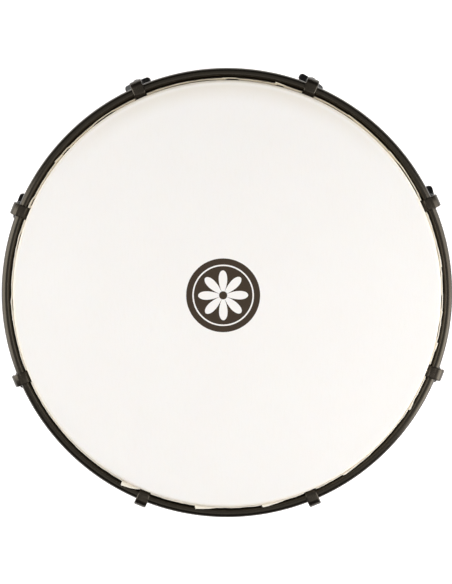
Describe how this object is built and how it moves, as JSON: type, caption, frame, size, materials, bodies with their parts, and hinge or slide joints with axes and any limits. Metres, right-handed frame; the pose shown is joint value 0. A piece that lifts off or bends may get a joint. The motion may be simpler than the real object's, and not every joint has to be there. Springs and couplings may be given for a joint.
{
  "type": "bodhran",
  "caption": "Round frame drum with a natural skin, a black rod tension hoop, claw hooks and wing nuts, and a cross bar in its open back.",
  "frame": {"origin": "centre of the shell's back rim, on the surface the drum lies on", "axes": "+Z from the open back through the head; +Y towards the top of the head as it is usually shown; the cross bar runs along Y"},
  "size_m": [0.3779, 0.378, 0.1009],
  "materials": {
    "shell_wood": "satin lacquered bent plywood, brown",
    "goat_skin": "natural near-white drum skin, matt",
    "skin_edge": "trimmed raw edge of the drum skin, cream",
    "hoop_black": "black powder coat, semi-gloss",
    "claw_black": "black powder coat, semi-gloss",
    "flesh_hoop_steel": "bare drawn wire",
    "bracket_black": "black powder coat",
    "wing_nut_black": "black plated casting",
    "washer_steel": "zinc plated",
    "screw_black": "black plated",
    "inner_steel": "zinc plated",
    "bar_wood": "oiled hardwood, rounded edges",
    "bar_screw_steel": "brass wood screws"
  },
  "bodies": {
    "shell": {"frame_shell": "shell_wood", "skin_head": "goat_skin", "lug_bracket_1": "bracket_black", "lug_bracket_2": "bracket_black", "lug_bracket_3": "bracket_black", "lug_bracket_4": "bracket_black", "lug_bracket_5": "bracket_black", "lug_bracket_6": "bracket_black", "lug_bracket_7": "bracket_black", "lug_bracket_8": "bracket_black", "stud_washers": "washer_steel", "lug_screws": "screw_black", "lug_screw_washers": "inner_steel", "lug_screw_nuts": "inner_steel", "cross_bar": "bar_wood", "cross_bar_screws": "bar_screw_steel"},
    "tension_ring": {"tension_hoop": "hoop_black", "flesh_hoop": "flesh_hoop_steel", "skin_collar": "skin_edge", "claw_hook_1": "claw_black", "claw_hook_2": "claw_black", "claw_hook_3": "claw_black", "claw_hook_4": "claw_black", "claw_hook_5": "claw_black", "claw_hook_6": "claw_black", "claw_hook_7": "claw_black", "claw_hook_8": "claw_black"},
    "nut_1": {"wing_nut_1": "wing_nut_black"},
    "nut_2": {"wing_nut_2": "wing_nut_black"},
    "nut_3": {"wing_nut_3": "wing_nut_black"},
    "nut_4": {"wing_nut_4": "wing_nut_black"},
    "nut_5": {"wing_nut_5": "wing_nut_black"},
    "nut_6": {"wing_nut_6": "wing_nut_black"},
    "nut_7": {"wing_nut_7": "wing_nut_black"},
    "nut_8": {"wing_nut_8": "wing_nut_black"}
  },
  "joints": [
    {"name": "tension_slide", "type": "slide", "parent": "shell", "child": "tension_ring", "axis": [0, 0, 1], "range_m": [-0.002, 0.003]},
    {"name": "wing_nut_1_turn", "type": "hinge", "parent": "shell", "child": "nut_1", "pos_m": [0.17581, 0.07717, 0.05], "axis": [0, 0, 1], "range_deg": [-1351, 901]},
    {"name": "wing_nut_2_turn", "type": "hinge", "parent": "shell", "child": "nut_2", "pos_m": [0.07347, 0.17738, 0.05], "axis": [0, 0, 1], "range_deg": [-1351, 901]},
    {"name": "wing_nut_3_turn", "type": "hinge", "parent": "shell", "child": "nut_3", "pos_m": [-0.07409, 0.17713, 0.05], "axis": [0, 0, 1], "range_deg": [-1351, 901]},
    {"name": "wing_nut_4_turn", "type": "hinge", "parent": "shell", "child": "nut_4", "pos_m": [-0.177, 0.0744, 0.05], "axis": [0, 0, 1], "range_deg": [-1351, 901]},
    {"name": "wing_nut_5_turn", "type": "hinge", "parent": "shell", "child": "nut_5", "pos_m": [-0.17839, -0.07099, 0.05], "axis": [0, 0, 1], "range_deg": [-1351, 901]},
    {"name": "wing_nut_6_turn", "type": "hinge", "parent": "shell", "child": "nut_6", "pos_m": [-0.07533, -0.17661, 0.05], "axis": [0, 0, 1], "range_deg": [-1351, 901]},
    {"name": "wing_nut_7_turn", "type": "hinge", "parent": "shell", "child": "nut_7", "pos_m": [0.07254, -0.17777, 0.05], "axis": [0, 0, 1], "range_deg": [-1351, 901]},
    {"name": "wing_nut_8_turn", "type": "hinge", "parent": "shell", "child": "nut_8", "pos_m": [0.17888, -0.06974, 0.05], "axis": [0, 0, 1], "range_deg": [-1351, 901]}
  ],
  "couplings": [
    {"joint": "wing_nut_1_turn", "follows": "tension_slide", "rad_per_m": -7854},
    {"joint": "wing_nut_2_turn", "follows": "tension_slide", "rad_per_m": -7854},
    {"joint": "wing_nut_3_turn", "follows": "tension_slide", "rad_per_m": -7854},
    {"joint": "wing_nut_4_turn", "follows": "tension_slide", "rad_per_m": -7854},
    {"joint": "wing_nut_5_turn", "follows": "tension_slide", "rad_per_m": -7854},
    {"joint": "wing_nut_6_turn", "follows": "tension_slide", "rad_per_m": -7854},
    {"joint": "wing_nut_7_turn", "follows": "tension_slide", "rad_per_m": -7854},
    {"joint": "wing_nut_8_turn", "follows": "tension_slide", "rad_per_m": -7854}
  ]
}
